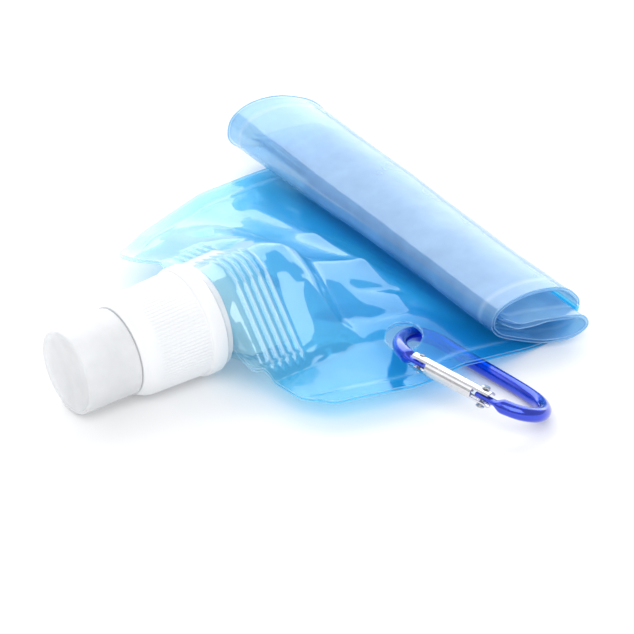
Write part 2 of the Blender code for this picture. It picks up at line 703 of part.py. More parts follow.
def main():
    clear_scene()
    film_above = material("blue film, upper", (0.10, 0.50, 0.86), 0.12, alpha=0.75)
    film_below = material("blue film, lower", (0.07, 0.42, 0.80), 0.12, alpha=0.8)
    rolled_inside = material("blue film, rolled inside", (0.08, 0.44, 0.82), 0.14, alpha=0.8)
    rolled_outside = material("blue film, rolled outside", (0.22, 0.58, 0.88), 0.14, alpha=0.8)
    gusset = material("blue gusset strip", (0.16, 0.52, 0.86), 0.2, alpha=0.85)
    build_body_film("front_film", 1, (NECK_Y, *BODY_ROWS), PUFF_ABOVE, film_above)
    build_body_film("back_film", -1, BODY_ROWS, PUFF_BELOW, film_below)
    build_spout(material("pale clear spout plastic", (0.75, 0.86, 0.92), 0.25))
    build_seal_ring(material("soft silicone", (0.80, 0.82, 0.82), 0.6))
    build_collar(material("white cap plastic", (0.84, 0.86, 0.87), 0.35))
    build_nozzle(material("white valve plastic", (0.80, 0.83, 0.85), 0.3))
    build_overcap(material("frosted overcap plastic", (0.80, 0.84, 0.87), 0.3, alpha=0.85))
    build_roll(rolled_inside, rolled_outside, gusset)
    build_carabiner_body(material("blue anodised aluminium", (0.01, 0.07, 0.32), 0.22, 1.0))
    build_gate(material("bright gate steel", (0.72, 0.73, 0.75), 0.22, 1.0))
    build_gate_rivet(material("rivet steel", (0.62, 0.63, 0.65), 0.25, 1.0))
    build_catch_pin(material("pin steel", (0.60, 0.61, 0.63), 0.25, 1.0))
    build_gate_spring(material("spring steel", (0.50, 0.51, 0.53), 0.3, 1.0))


main()
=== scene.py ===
"""Looks of the folding water bottle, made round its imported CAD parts.

Shapes are written in millimetres in the bottle frame: x = 0 is the cap axis, y = 0 is the end of the
overcap and z = 0 is the table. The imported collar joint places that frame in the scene.
"""

import json
import math

import bmesh
import bpy
import numpy as np
from mathutils import Matrix, Vector


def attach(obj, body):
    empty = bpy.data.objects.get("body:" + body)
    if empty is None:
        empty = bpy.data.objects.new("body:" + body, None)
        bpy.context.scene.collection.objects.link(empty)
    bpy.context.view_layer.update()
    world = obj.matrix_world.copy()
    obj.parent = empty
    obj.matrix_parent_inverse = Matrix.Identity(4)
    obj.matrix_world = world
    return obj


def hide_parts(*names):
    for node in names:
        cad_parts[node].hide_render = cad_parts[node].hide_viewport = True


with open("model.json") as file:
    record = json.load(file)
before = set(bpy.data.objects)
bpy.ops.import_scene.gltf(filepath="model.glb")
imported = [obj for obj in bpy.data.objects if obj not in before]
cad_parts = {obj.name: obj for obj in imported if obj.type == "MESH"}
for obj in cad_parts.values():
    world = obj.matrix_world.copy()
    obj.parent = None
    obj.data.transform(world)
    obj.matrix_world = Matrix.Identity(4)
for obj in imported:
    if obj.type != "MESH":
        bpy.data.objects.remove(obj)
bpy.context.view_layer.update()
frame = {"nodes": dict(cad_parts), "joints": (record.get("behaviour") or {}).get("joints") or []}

JOINTS = {joint["name"]: joint for joint in frame["joints"]}

# ---- the bottle frame ----
MM = 0.001
FLANGE_Y = 40.77
CAP_AXIS = Vector(JOINTS["collar_unscrew"]["axis"]).normalized()
CAP_ORIGIN = Vector(JOINTS["collar_unscrew"]["pos_m"]) / MM
FLANGE_Z = CAP_ORIGIN.z
PLACEMENT = CAP_ORIGIN - Vector((0, FLANGE_Y, FLANGE_Z))
CAP_SLOPE = CAP_AXIS.z / CAP_AXIS.y

# ---- camera and light ----
VIEW_AZIMUTH = 56.2
VIEW_ELEVATION = 31.0
VIEW_DISTANCE = 1.5
VIEW_LENS = 329.62
VIEW_AIM = Vector((0.02853, -0.00647, 0.02128))

# ---- cap and spout, along the cap axis from the front of the flange ----
OVERCAP_BASE = 25.0
OVERCAP_LENGTH = 15.9
OVERCAP_R = 11.9
OVERCAP_WALL = 1.3
OVERCAP_END_WALL = 0.9
COLLAR_BASE = 0.4
COLLAR_SKIRT_R = 15.0
COLLAR_GRIP_R = 14.35
COLLAR_FRONT_R = 13.8
COLLAR_BORE_R = 12.75
COLLAR_DECK = 20.6
COLLAR_TOP = 24.7
GRIP_RIBS = 87
GRIP_RIB_DEPTH = 0.24
GRIP_BACK = COLLAR_BASE + 4.5
GRIP_START = 5.2
GRIP_MIDDLE = 12.4
GRIP_END = 19.6
GRIP_TOP = COLLAR_DECK - 0.2
GRIP_FADE = 0.6
VALVE_TOWER_R = 6.4
VALVE_BORE_R = 4.4
VALVE_POST_R = 1.9
NOZZLE_R = 8.2
NOZZLE_BORE_R = 6.7
NOZZLE_BASE = 25.1
NOZZLE_TOP = 34.6
NOZZLE_ORIFICE_R = 2.5
SPOUT_BORE_R = 9.7
NECK_R = 11.4
NECK_RIM = 19.0
FLANGE_R = 14.0
FLANGE_THICKNESS = 1.6
CANOE_R = 11.2
CANOE_TIP = 19.05
SPOUT_TURN = 15.0
CANOE_FRONT = -5.0
CANOE_BACK = -16.4
THREAD_PITCH = 3.2
THREAD_DEPTH = 0.9
THREAD_START = 2.4
THREAD_END = 13.6

# ---- pouch ----
FILM_THICKNESS = 0.3
SEAL_OFFSET = 0.6
CANOE_FILM_R = 12.15
CANOE_FILM_TIP_LEFT = 17.5
CANOE_FILM_TIP_RIGHT = 24.0
NECK_FILM_TIP = 14.5
FULL_TIP_Y = 45.5
WING_FOOT = 26.0
HOLE_CENTRE = (27.6, 86.6)
HOLE_R = 4.9
HOLE_FILM_SLOPE = 0.30
HOLE_SLOPE_REACH = 12.0
LEFT_EDGE = ((45, -46.5), (50, -49), (57, -54), (65, -57.5), (83, -65), (96, -67.5), (114, -74), (134, -80))
RIGHT_EDGE = ((46, 40), (50, 42), (57, 44.5), (67, 46.5), (78, 47), (98, 46.8), (109, 44.5), (134, 38.5))
FRONT_EDGE = (
    (-46.5, 45.2), (-26, 45.3), (-16.5, 42.9), (17, 42.7), (21, 43.5), (25, 47.2), (35, 48.3), (42, 50.3),
)
LEFT_CORNER_R = 1.6
RIGHT_CORNER_R = 7.0
NECK_Y = 42.6
NECK_BLEND = 20.0
CENTRE_HEIGHT = (
    (60, 16.6), (66, 14.5), (75, 11), (85, 9), (98, 6.6), (105, 4.6), (111, 3), (118, 1.2), (122, 0.65),
)
LEFT_HEIGHT = ((45, 10), (60, 8.5), (83, 7.5), (97, 6.3), (107, 4.2), (116, 1.8), (122, 0.65))
RIGHT_HEIGHT = (
    (46, 6.2), (60, 7.2), (68, 7), (78, 6), (92, 7.4), (99, 6.2), (107, 4.2), (116, 1.8), (122, 0.65),
)
PUFF_ABOVE = ((60, 11.5), (68, 9.2), (76, 7.4), (86, 5.4), (96, 3), (104, 1), (110, 0))
PUFF_BELOW = ((60, 11.5), (68, 6), (75, 4), (86, 3), (96, 1.5), (104, 0.5), (110, 0))
BODY_END = 127.0
FOLD_START = ((BODY_END, 0.65, 3), (129.5, 0.85, 12), (132, 1.9, 35), (133.9, 3.6, 62), (134.9, 6.2, 90))
FINE_ROW = 0.3
COARSE_ROW = 0.9
FINE_END = 76.0
FILM_COLUMNS = 161

WELD_RIBS = 5
WELD_FIRST = 48.4
WELD_PITCH = 2.25
WELD_HEIGHT = 0.5
WELD_HALF_LENGTH = 24.5
SEAL_BAND = 5.5
# folds in the film over the water space: from (x, y) to (x, y), height, width; a valley is below zero
FOLDS = (
    (2, 59, -2, 94, 2.0, 5.0),
    (-2, 94, -22, 92, 1.2, 3.5),
    (-22, 92, -47, 89, 0.9, 4.5),
    (12, 66, 20, 74, 1.1, 2.4),
    (8, 86, 8, 97, -1.1, 2.2),
    (17, 83, 19, 92, -0.9, 2.0),
    (20, 60, 24, 66, -0.8, 1.3),
    (24, 66, 25, 81, -0.7, 1.4),
    (12, 95, 22, 92, 0.8, 1.6),
)

# painted shade and painted light on the film, from 0 to 1: along the pouch by y, and across it by x; the
# shade deepens the tint by the roll, the milky lift brightens the film in front of it
ROLL_SHADE_ALONG = ((46, 0), (50, 0.35), (72, 0.45), (96, 1))
SHADE_ACROSS = ((-62, 0.27), (-30, 0.45), (12, 0.48), (28, 1))
# painted light: the milky body rises across the middle and left, in front of the roll, to brighten the
# shaded film, and drops by the carabiner
MILK_ACROSS = ((-62, 0.5), (-30, 1), (12, 1), (28, 0.1))

# the rolled base: (y, z, left edge x, right edge x)
ROLL_PATH = (
    (134.9, 6.6, -80, 38.5),
    (134.2, 9.2, -80, 39),
    (131, 12.6, -80.5, 39.3),
    (126.6, 14.8, -81, 39.5),
    (119.4, 16.2, -82.5, 39.5),
    (113, 15.7, -84, 39.5),
    (108.4, 14, -84.5, 39.5),
    (106.8, 11, -84.5, 39.5),
    (107.5, 8.4, -84.5, 39.5),
    (110.4, 6, -84, 40),
    (118.8, 2.9, -81, 42),
    (124, 2.6, -79, 44),
    (128.8, 3.3, -78, 45.5),
    (131.9, 5.7, -77, 46.5),
    (130.3, 8.8, -77, 46.5),
    (124.5, 10.2, -77, 46),
    (119.6, 10.5, -77.5, 45),
    (115, 9.9, -78.5, 43.5),
    (112.6, 9.6, -79, 42),
    (109.5, 11, -79, 40),
)
ROLL_OFFSET = 0.4
ROLL_BASE_SPREAD = 0.35
ROLL_COLUMNS = 90
ROLL_FLARE = 2.6
FIRST_TURN = 46.0
EDGE_BEAD_R = 0.2

# ---- look of the film: how far a weld turns it milky as a painted highlight, how far the painted light lift turns it milky, and the colour of the painted weld highlight ----
WELD_HIGHLIGHT_MILK = 0.32
PAINTED_LIGHT_MILK = 0.25
WELD_HIGHLIGHT_WHITE = (0.78, 0.91, 1.0, 1.0)

# ---- carabiner: (along, across, half thickness) of its bent rod, from the nose to the hinge ----
CARABINER_ORIGIN = Vector((69.66, 100.7, 3.06))
CARABINER_YAW = 14.5
CARABINER_PITCH = 4.2
CARABINER_ROLL = 23.0
TONGUE_HALF_WIDTH = 1.45
TONGUE_HALF_THICKNESS = 0.8
ROD_R = 1.95
ROD_PATH = (
    (-27.2, -16.3, TONGUE_HALF_THICKNESS),
    (-31.6, -16.3, TONGUE_HALF_THICKNESS),
    (-33.4, -15.9, ROD_R),
    (-37.5, -13.4, ROD_R),
    (-41, -9.7, ROD_R),
    (-43.8, -5, ROD_R),
    (-45.7, 0, ROD_R),
    (-46, 4, ROD_R),
    (-43.8, 7.3, ROD_R),
    (-40, 8.2, ROD_R),
    (-33, 7.2, ROD_R),
    (-24, 6.1, ROD_R),
    (-14, 5.2, ROD_R),
    (-7, 4.1, ROD_R),
    (-1.5, 1.9, ROD_R),
    (2.8, -2.6, ROD_R),
    (4.3, -8, ROD_R),
    (2.6, -12.8, ROD_R),
    (-1.6, -15.2, ROD_R),
    (-4.2, -15.6, TONGUE_HALF_THICKNESS),
    (-9.8, -15.6, TONGUE_HALF_THICKNESS),
)
RIVET_AT = (-8.0, -15.6)
RIVET_HOLE_R = 0.8
PIN_AT = (-28.9, -16.3)
PIN_NOTCH_R = 0.95


# ---- frames ----
def fitment_frame():
    """Frame of the cap and spout: origin on the front of the flange, +Z out of the mouth."""
    across = Vector((1, 0, 0))
    turn = Matrix((across, CAP_AXIS.cross(across), CAP_AXIS)).transposed().to_4x4()
    return Matrix.Translation((0, FLANGE_Y, FLANGE_Z)) @ turn


def carabiner_frame():
    """Frame of the carabiner: X along it towards the far bend, Y across towards the spine."""
    yaw, pitch, roll = (math.radians(a) for a in (CARABINER_YAW, CARABINER_PITCH, CARABINER_ROLL))
    along = Vector((math.cos(yaw) * math.cos(pitch), math.sin(yaw) * math.cos(pitch), -math.sin(pitch)))
    level = Vector((-math.sin(yaw), math.cos(yaw), 0))
    across = level * math.cos(roll) - along.cross(level) * math.sin(roll)
    turn = Matrix((along, across, along.cross(across))).transposed().to_4x4()
    return Matrix.Translation(CARABINER_ORIGIN) @ turn


FITMENT = fitment_frame()
CARABINER = carabiner_frame()
POUCH = Matrix.Identity(4)


# ---- mesh helpers ----
def mesh_object(name, points, faces, place, sharp=35.0):
    """An object from points in millimetres of the given frame, put in the scene in metres."""
    turn = np.array(place, float)
    world = np.asarray(points, float) @ turn[:3, :3].T + turn[:3, 3] + np.array(PLACEMENT)
    mesh = bpy.data.meshes.new(name)
    mesh.from_pydata((world * MM).tolist(), [], faces)
    shell = bmesh.new()
    shell.from_mesh(mesh)
    bmesh.ops.recalc_face_normals(shell, faces=shell.faces)
    shell.to_mesh(mesh)
    shell.free()
    finish_shading(mesh, sharp)
    made = bpy.data.objects.new(name, mesh)
    bpy.context.scene.collection.objects.link(made)
    return made


def finish_shading(mesh, sharp):
    for polygon in mesh.polygons:
        polygon.use_smooth = True
    mesh.set_sharp_from_angle(angle=math.radians(sharp))


def cut(piece, cutter, sharp=35.0):
    """Takes the cutter out of the piece and removes the cutter."""
    modifier = piece.modifiers.new("cut", "BOOLEAN")
    modifier.operation = "DIFFERENCE"
    modifier.solver = "EXACT"
    modifier.object = cutter
    ready = piece.evaluated_get(bpy.context.evaluated_depsgraph_get())
    mesh = bpy.data.meshes.new_from_object(ready)
    piece.modifiers.clear()
    piece.data = mesh
    bpy.data.objects.remove(cutter)
    finish_shading(mesh, sharp)


def set_values(piece, name, values):
    """Writes a number for each point, for the piece's material to read."""
    made = piece.data.attributes.new(name, "FLOAT", "POINT")
    made.data.foreach_set("value", np.asarray(values, np.float32))


def dress(piece, body, slot, replaced, *materials):
    """Gives a piece its materials and its body, and hides the CAD nodes that it stands for; the slot is not
    used.
    """
    piece.data.materials.clear()
    for made in materials:
        piece.data.materials.append(made)
    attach(piece, body)
    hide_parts(*replaced)
    return piece


def ring_faces(ring_count, size, closed):
    """Quads between rings of equal size; closed also joins the last ring to the first."""
    faces = []
    for ring in range(ring_count if closed else ring_count - 1):
        following = (ring + 1) % ring_count
        for k in range(size):
            after = (k + 1) % size
            here, there = ring * size, following * size
            faces.append((here + k, here + after, there + after, there + k))
    return faces


def swept_solid(rings):
    """Points and faces of a solid through a row of rings, closed at both ends."""
    size = len(rings[0])
    points = [point for ring in rings for point in ring]
    faces = ring_faces(len(rings), size, False)
    faces.append(tuple(range(size)))
    faces.append(tuple(range(len(points) - size, len(points))))
    return points, faces


def rod_between(start, end, radius, sides=48):
    """Points and faces of a straight round rod along z."""
    rings = []
    for x, y, z in (start, end):
        angles = [2 * math.pi * k / sides for k in range(sides)]
        rings.append([(x + radius * math.cos(a), y + radius * math.sin(a), z) for a in angles])
    return swept_solid(rings)


def box_between(low, high):
    rings = [[(low[0], low[1], z), (high[0], low[1], z), (high[0], high[1], z), (low[0], high[1], z)]
             for z in (low[2], high[2])]
    return swept_solid(rings)


def smooth_path(knots, steps):
    """Points of a smooth curve through the knots, with the given number of steps between two of them."""
    knots = np.array(knots, float)
    ends = np.vstack((2 * knots[0] - knots[1], knots, 2 * knots[-1] - knots[-2]))
    found = []
    for k in range(len(knots) - 1):
        before, start, end, after = ends[k:k + 4]
        for t in np.arange(steps) / steps:
            bend = (2 * before - 5 * start + 4 * end - after) * t ** 2
            twist = (3 * start - before - 3 * end + after) * t ** 3
            found.append(start + 0.5 * ((end - before) * t + bend + twist))
    return np.array(found + [knots[-1]])


def at(table, value):
    """Value of a table, straight between its rows."""
    where, what = zip(*table)
    return np.interp(value, where, what)


def eased(table, value, reach=2.5):
    """Value of a table with its corners rounded over the reach."""
    return np.mean([at(table, value + step) for step in np.linspace(-reach, reach, 9)], axis=0)


# ---- cap and spout ----
def turned_ring(radius, height, segments, thread=0.0, side=0.0, ribs=0.0):
    """One ring of a turned piece. A thread makes its radius wave along a helix, and ribs wave it round."""
    angle = 2 * math.pi * np.arange(segments) / segments
    reach = radius + thread * (np.cos(2 * math.pi * height / THREAD_PITCH - angle) + side)
    reach = reach - ribs * (0.5 - 0.5 * np.cos(GRIP_RIBS * angle)) ** 1.5
    return np.stack((reach * np.cos(angle), reach * np.sin(angle), np.full(segments, height)), axis=1)


def turned_solid(outline, segments):
    """Revolves a closed outline of (radius, height, thread, side, ribs); radius 0 is a point on the axis."""
    rows, points, faces = [], [], []
    for radius, height, *extra in outline:
        start = len(points)
        if radius == 0:
            points.append((0, 0, height))
            rows.append([start] * segments)
        else:
            points.extend(turned_ring(radius, height, segments, *extra))
            rows.append(list(range(start, start + segments)))
    for row, below in enumerate(rows):
        above = rows[(row + 1) % len(rows)]
        for k in range(segments):
            after = (k + 1) % segments
            corners = dict.fromkeys((below[k], below[after], above[after], above[k]))
            if len(corners) > 2:
                faces.append(tuple(corners))
    return points, faces


def thread_rows(radius, side, steps_per_turn=8):
    """Outline rows of a screw thread that fades in and out over half a turn."""
    rows = []
    step = THREAD_PITCH / steps_per_turn
    for k in range(round((THREAD_END - THREAD_START) / step) + 1):
        height = THREAD_START + k * step
        fade = min(1, (height - THREAD_START) / THREAD_PITCH * 2, (THREAD_END - height) / THREAD_PITCH * 2)
        rows.append((radius, height, fade * THREAD_DEPTH / 2, side))
    return rows


def make_overcap(plastic):
    inside = OVERCAP_R - OVERCAP_WALL
    top = OVERCAP_BASE + OVERCAP_LENGTH
    outline = (
        (0, top - 0.4),
        (OVERCAP_R - 2.2, top - 0.4),
        (OVERCAP_R - 1.5, top - 0.36),
        (OVERCAP_R - 1.25, top - 0.2),
        (OVERCAP_R - 1.1, top - 0.04),
        (OVERCAP_R - 0.9, top),
        (OVERCAP_R - 0.6, top - 0.06),
        (OVERCAP_R - 0.38, top - 0.25),
        (OVERCAP_R - 0.26, top - 0.6),
        (OVERCAP_R - 0.2, top - 1.2),
        (OVERCAP_R - 0.02, OVERCAP_BASE + 0.5),
        (OVERCAP_R - 0.06, OVERCAP_BASE + 0.15),
        (OVERCAP_R - 0.25, OVERCAP_BASE),
        (inside + 0.1, OVERCAP_BASE),
        (inside, OVERCAP_BASE + 0.2),
        (inside - 0.1, top - 1.7),
        (inside - 0.5, top - 0.4 - OVERCAP_END_WALL),
        (0, top - 0.4 - OVERCAP_END_WALL),
    )
    piece = mesh_object("overcap_cup", *turned_solid(outline, 128), FITMENT)
    dress(piece, "overcap", "frosted_overcap_plastic", ["overcap"], plastic)


def make_nozzle(plastic):
    grip = NOZZLE_R - 0.5
    outline = (
        (NOZZLE_BORE_R, NOZZLE_BASE),
        (NOZZLE_R - 0.15, NOZZLE_BASE),
        (NOZZLE_R, NOZZLE_BASE + 0.15),
        (NOZZLE_R, NOZZLE_BASE + 1.1),
        (NOZZLE_R - 0.12, NOZZLE_BASE + 1.5),
        (grip, NOZZLE_BASE + 2.2),
        (grip, NOZZLE_BASE + 5.7),
        (NOZZLE_R - 0.1, NOZZLE_BASE + 6.6),
        (NOZZLE_R, NOZZLE_BASE + 7),
        (NOZZLE_R, NOZZLE_TOP - 0.8),
        (NOZZLE_R - 0.12, NOZZLE_TOP - 0.3),
        (NOZZLE_R - 0.45, NOZZLE_TOP),
        (NOZZLE_ORIFICE_R + 0.2, NOZZLE_TOP),
        (NOZZLE_ORIFICE_R, NOZZLE_TOP - 0.2),
        (NOZZLE_ORIFICE_R, NOZZLE_TOP - 1.2),
        (NOZZLE_BORE_R, NOZZLE_TOP - 1.2),
    )
    piece = mesh_object("drinking_nozzle", *turned_solid(outline, 96), FITMENT)
    dress(piece, "nozzle", "white_valve_plastic", ["nozzle"], plastic)


def grip_rows():
    """Outline rows of the ribbed grip: it tapers forwards, and the ribs fade at both ends."""
    rows = []
    faded_in, faded_out = GRIP_START + GRIP_FADE, GRIP_END - GRIP_FADE
    for height in (GRIP_BACK, GRIP_START, faded_in, GRIP_MIDDLE, faded_out, GRIP_END, GRIP_TOP):
        share = (height - GRIP_BACK) / (GRIP_TOP - GRIP_BACK)
        fade = min(1.0, (height - GRIP_START) / GRIP_FADE, (GRIP_END - height) / GRIP_FADE)
        depth = GRIP_RIB_DEPTH * max(0.0, fade)
        rows.append((COLLAR_GRIP_R + (COLLAR_FRONT_R - COLLAR_GRIP_R) * share, height, 0.0, 0.0, depth))
    return rows


def make_collar(plastic):
    web_top = COLLAR_DECK + 0.9
    spigot = OVERCAP_R - OVERCAP_WALL - 0.4
    tip = NOZZLE_ORIFICE_R - 0.3
    outline = [
        (0, COLLAR_DECK),
        (COLLAR_BORE_R, COLLAR_DECK),
        *reversed(thread_rows(COLLAR_BORE_R, -1)),
        (COLLAR_BORE_R, COLLAR_BASE),
        (COLLAR_SKIRT_R - 0.5, COLLAR_BASE),
        (COLLAR_SKIRT_R - 0.15, COLLAR_BASE + 0.15),
        (COLLAR_SKIRT_R, COLLAR_BASE + 0.5),
        (COLLAR_SKIRT_R, COLLAR_BASE + 3.6),
        (COLLAR_SKIRT_R - 0.1, COLLAR_BASE + 4.0),
        (COLLAR_SKIRT_R - 0.35, COLLAR_BASE + 4.3),
        *grip_rows(),
        (COLLAR_FRONT_R - 0.1, COLLAR_DECK + 0.5),
        (COLLAR_FRONT_R - 0.3, COLLAR_TOP - 2.9),
        (COLLAR_FRONT_R - 0.55, COLLAR_TOP - 2.2),
        (COLLAR_FRONT_R - 0.9, COLLAR_TOP - 1.5),
        (COLLAR_FRONT_R - 1.2, COLLAR_TOP - 1.1),
        (COLLAR_FRONT_R - 1.38, COLLAR_TOP - 0.7),
        (COLLAR_FRONT_R - 1.5, COLLAR_TOP - 0.2),
        (COLLAR_FRONT_R - 1.7, COLLAR_TOP),
        (spigot, COLLAR_TOP),
        (spigot, COLLAR_TOP + 2.1),
        (spigot - 0.4, COLLAR_TOP + 2.5),
        (NOZZLE_R + 0.4, COLLAR_TOP + 2.5),
        (NOZZLE_R + 0.4, COLLAR_TOP),
        (VALVE_TOWER_R, COLLAR_TOP),
        (VALVE_TOWER_R, COLLAR_TOP + 6.8),
        (VALVE_BORE_R, COLLAR_TOP + 6.8),
        (VALVE_BORE_R, web_top),
        (VALVE_POST_R, web_top),
        (VALVE_POST_R, NOZZLE_TOP - 1.4),
        (tip, NOZZLE_TOP - 1.1),
        (tip, NOZZLE_TOP - 0.4),
        (0, NOZZLE_TOP - 0.2),
    ]
    piece = mesh_object("screw_collar", *turned_solid(outline, GRIP_RIBS * 6), FITMENT)
    dress(piece, "collar", "white_cap_plastic", ["collar"], plastic)


def canoe_ring(height, tip, segments):
    """A circle drawn out to a point on each side."""
    angle = 2 * math.pi * np.arange(segments) / segments
    side = np.arccos(np.clip(np.abs(np.cos(angle + math.radians(SPOUT_TURN))), -1, 1))
    slope = math.acos(CANOE_R / tip)
    reach = np.where(side >= slope, CANOE_R, CANOE_R / np.cos(side - slope))
    return np.stack((reach * np.cos(angle), reach * np.sin(angle), np.full(segments, height)), axis=1)


def make_spout(plastic):
    segments = 128
    rings = [
        turned_ring(SPOUT_BORE_R, NECK_RIM, segments),
        turned_ring(NECK_R - 0.4, NECK_RIM, segments),
        turned_ring(NECK_R, NECK_RIM - 0.5, segments),
    ]
    for radius, height, depth, side in reversed(thread_rows(NECK_R, 1)):
        rings.append(turned_ring(radius, height, segments, depth, side))
    rings += [
        turned_ring(NECK_R, 0, segments),
        turned_ring(FLANGE_R - 0.2, 0, segments),
        turned_ring(FLANGE_R, -0.2, segments),
        turned_ring(FLANGE_R, 0.2 - FLANGE_THICKNESS, segments),
        turned_ring(FLANGE_R - 0.2, -FLANGE_THICKNESS, segments),
        turned_ring(CANOE_R, -FLANGE_THICKNESS, segments),
        canoe_ring(-FLANGE_THICKNESS - 0.6, CANOE_R + 0.01, segments),
        canoe_ring(CANOE_FRONT, CANOE_TIP, segments),
        canoe_ring(CANOE_BACK, CANOE_TIP, segments),
        turned_ring(SPOUT_BORE_R, CANOE_BACK, segments),
    ]
    points = np.concatenate(rings)
    piece = mesh_object("welded_spout", points, ring_faces(len(rings), segments, True), FITMENT)
    dress(piece, "pouch", "clear_spout", ["spout"], plastic)


# ---- pouch films ----
def body_place(row, u):
    """x and y of points of the flat pouch: u runs from the left edge to the right edge."""
    fade = np.clip(1 - (row - NECK_Y) / NECK_BLEND, 0, 1)
    corner_y = np.where(u < 0, FRONT_EDGE[0][1], FRONT_EDGE[-1][1])
    reach = row + (corner_y - NECK_Y) * fade
    edge = np.where(u < 0, eased(LEFT_EDGE, reach), eased(RIGHT_EDGE, reach))
    radius = np.where(u < 0, LEFT_CORNER_R, RIGHT_CORNER_R)
    side = (1 - np.abs(u)) * np.abs(edge)
    front = row - NECK_Y
    near_side = np.clip(1 - side / radius, 0, 1)
    near_front = np.clip(1 - front / radius, 0, 1)
    inwards = radius * near_side * (1 - np.sqrt(1 - near_front ** 2 / 2))
    backwards = radius * near_front * (1 - np.sqrt(1 - near_side ** 2 / 2))
    x = np.sign(edge) * (np.abs(edge) - side - inwards)
    y = row + (eased(FRONT_EDGE, x, 1.0) - NECK_Y) * fade + backwards
    return x, y


def edge_height(y, u):
    return np.where(u < 0, eased(LEFT_HEIGHT, y), eased(RIGHT_HEIGHT, y))


def half_width_at(y, u):
    return np.abs(np.where(u < 0, at(LEFT_EDGE, y), at(RIGHT_EDGE, y)))


def eased_share(value):
    """A share from 0 to 1 with soft ends."""
    return value * value * (3 - 2 * value)


def spout_section(x, y, u, side):
    """Height of a film round the turned fin of the spout, and on the wings at both sides of it."""
    turn = math.radians(SPOUT_TURN)
    left_tip = at(((NECK_Y, NECK_FILM_TIP), (FULL_TIP_Y, CANOE_FILM_TIP_LEFT)), y)
    right_tip = at(((NECK_Y, NECK_FILM_TIP), (FULL_TIP_Y, CANOE_FILM_TIP_RIGHT)), y)
    tip = np.where(u < 0, left_tip, right_tip)
    slope = np.arccos(CANOE_FILM_R / tip)
    along = x / math.cos(turn)
    for _ in range(40):
        arch = np.sqrt(np.maximum(0, CANOE_FILM_R ** 2 - along ** 2))
        flank = (CANOE_FILM_R - np.abs(along) * np.cos(slope)) / np.sin(slope)
        off = np.where(np.abs(along) < CANOE_FILM_R * np.cos(slope), arch, flank)
        off = np.maximum(off, SEAL_OFFSET)
        along = 0.6 * along + 0.4 * (x - side * off * math.sin(turn)) / math.cos(turn)
    centre = FLANGE_Z + (y - FLANGE_Y) * CAP_SLOPE
    on_fin = centre - along * math.sin(turn) + side * off * math.cos(turn)
    tip_x = tip * math.cos(turn)
    foot = np.where(u < 0, half_width_at(y, u), WING_FOOT)
    fall = np.clip((np.abs(x) - tip_x) / (foot - tip_x), 0, 1)
    tip_height = centre - np.sign(x) * tip * math.sin(turn)
    fall = 0.5 * fall + 0.5 * eased_share(fall)
    wing = tip_height + (edge_height(y, u) - tip_height) * fall + side * SEAL_OFFSET
    return np.where(np.abs(x) < tip_x - 0.4, on_fin, wing)


def hole_slope(x, y):
    """The film leans where the carabiner lifts it, round the hole."""
    away_x, away_y = x - HOLE_CENTRE[0], y - HOLE_CENTRE[1]
    uphill = -0.6 * away_x + 0.8 * away_y
    return HOLE_FILM_SLOPE * uphill * np.exp(-(away_x ** 2 + away_y ** 2) / HOLE_SLOPE_REACH ** 2)


def water_section(x, y, u, side, puff):
    """Height of a film over the water space, between the spout and the roll."""
    centre = eased(((58, 16.7), *CENTRE_HEIGHT), y)
    half_width = half_width_at(y, u)
    flat = eased(((60, 16), (78, 4)), y, 1.5)
    reach = 30 + (half_width - 30) * np.clip((y - 60) / 20, 0, 1)
    fall = np.clip((np.abs(x) - flat) / (reach - flat), 0, 1)
    fall = 0.4 * fall + 0.6 * eased_share(fall)
    middle = edge_height(y, u) + (centre - edge_height(y, u)) * (1 - fall) + hole_slope(x, y)
    margin = np.where(u < 0, 0.9, eased(((60, 0.9), (74, 0.36), (98, 0.36), (112, 0.9)), y))
    dome = np.clip(1 - (u / margin) ** 2, 0, 1) ** 1.5
    return middle + side * (SEAL_OFFSET + eased(puff, y) * dome)


def weld_ribs(x, y):
    """Height of the welded ribs across the spout, from 0 to 1."""
    ends = np.clip((WELD_HALF_LENGTH - np.abs(x)) / 1.2, 0, 1)
    ribs = sum(np.exp(-((y - WELD_FIRST - k * WELD_PITCH) / 0.5) ** 2) for k in range(WELD_RIBS))
    return ribs * np.sqrt(ends)


def folds(x, y):
    """Height of the creases and soft waves of the filled film."""
    calm = np.clip((x + 25) / 25, 0.25, 1)
    total = calm * 0.22 * np.sin(x / 6.1 + y / 9.3) * np.sin(y / 7.2 - x / 15.7)
    for start_x, start_y, end_x, end_y, height, width in FOLDS:
        along_x, along_y = end_x - start_x, end_y - start_y
        share = ((x - start_x) * along_x + (y - start_y) * along_y) / (along_x ** 2 + along_y ** 2)
        share = np.clip(share, 0, 1)
        away = np.hypot(x - start_x - share * along_x, y - start_y - share * along_y)
        total = total + height * np.exp(-(np.sqrt(away ** 2 + 0.5) - 0.7) / width)
    return total


def film_detail(x, y, u, side):
    """Extra height of a film beyond its plain shape, and how strongly it is welded, which also sets the
    painted highlight of its welds.
    """
    ribs = weld_ribs(x, y)
    inside = (1 - np.abs(u)) * half_width_at(y, u)
    free = np.clip((inside - SEAL_BAND) / 6, 0, 1)
    free = free * np.clip((y - 60) / 6, 0, 1) * np.clip((112 - y) / 9, 0, 1)
    seam = np.exp(-((inside - SEAL_BAND) / 0.7) ** 2) * np.clip((y - 50) / 4, 0, 1)
    waves = folds(x, y) if side > 0 else 0.3 * folds(x, y)
    # the weld value also paints the welds whiter and milkier, as the highlight along the weld ribs and seam
    return WELD_HEIGHT * ribs + free * waves - 0.25 * seam, np.clip(ribs + 0.6 * seam, 0, 1)


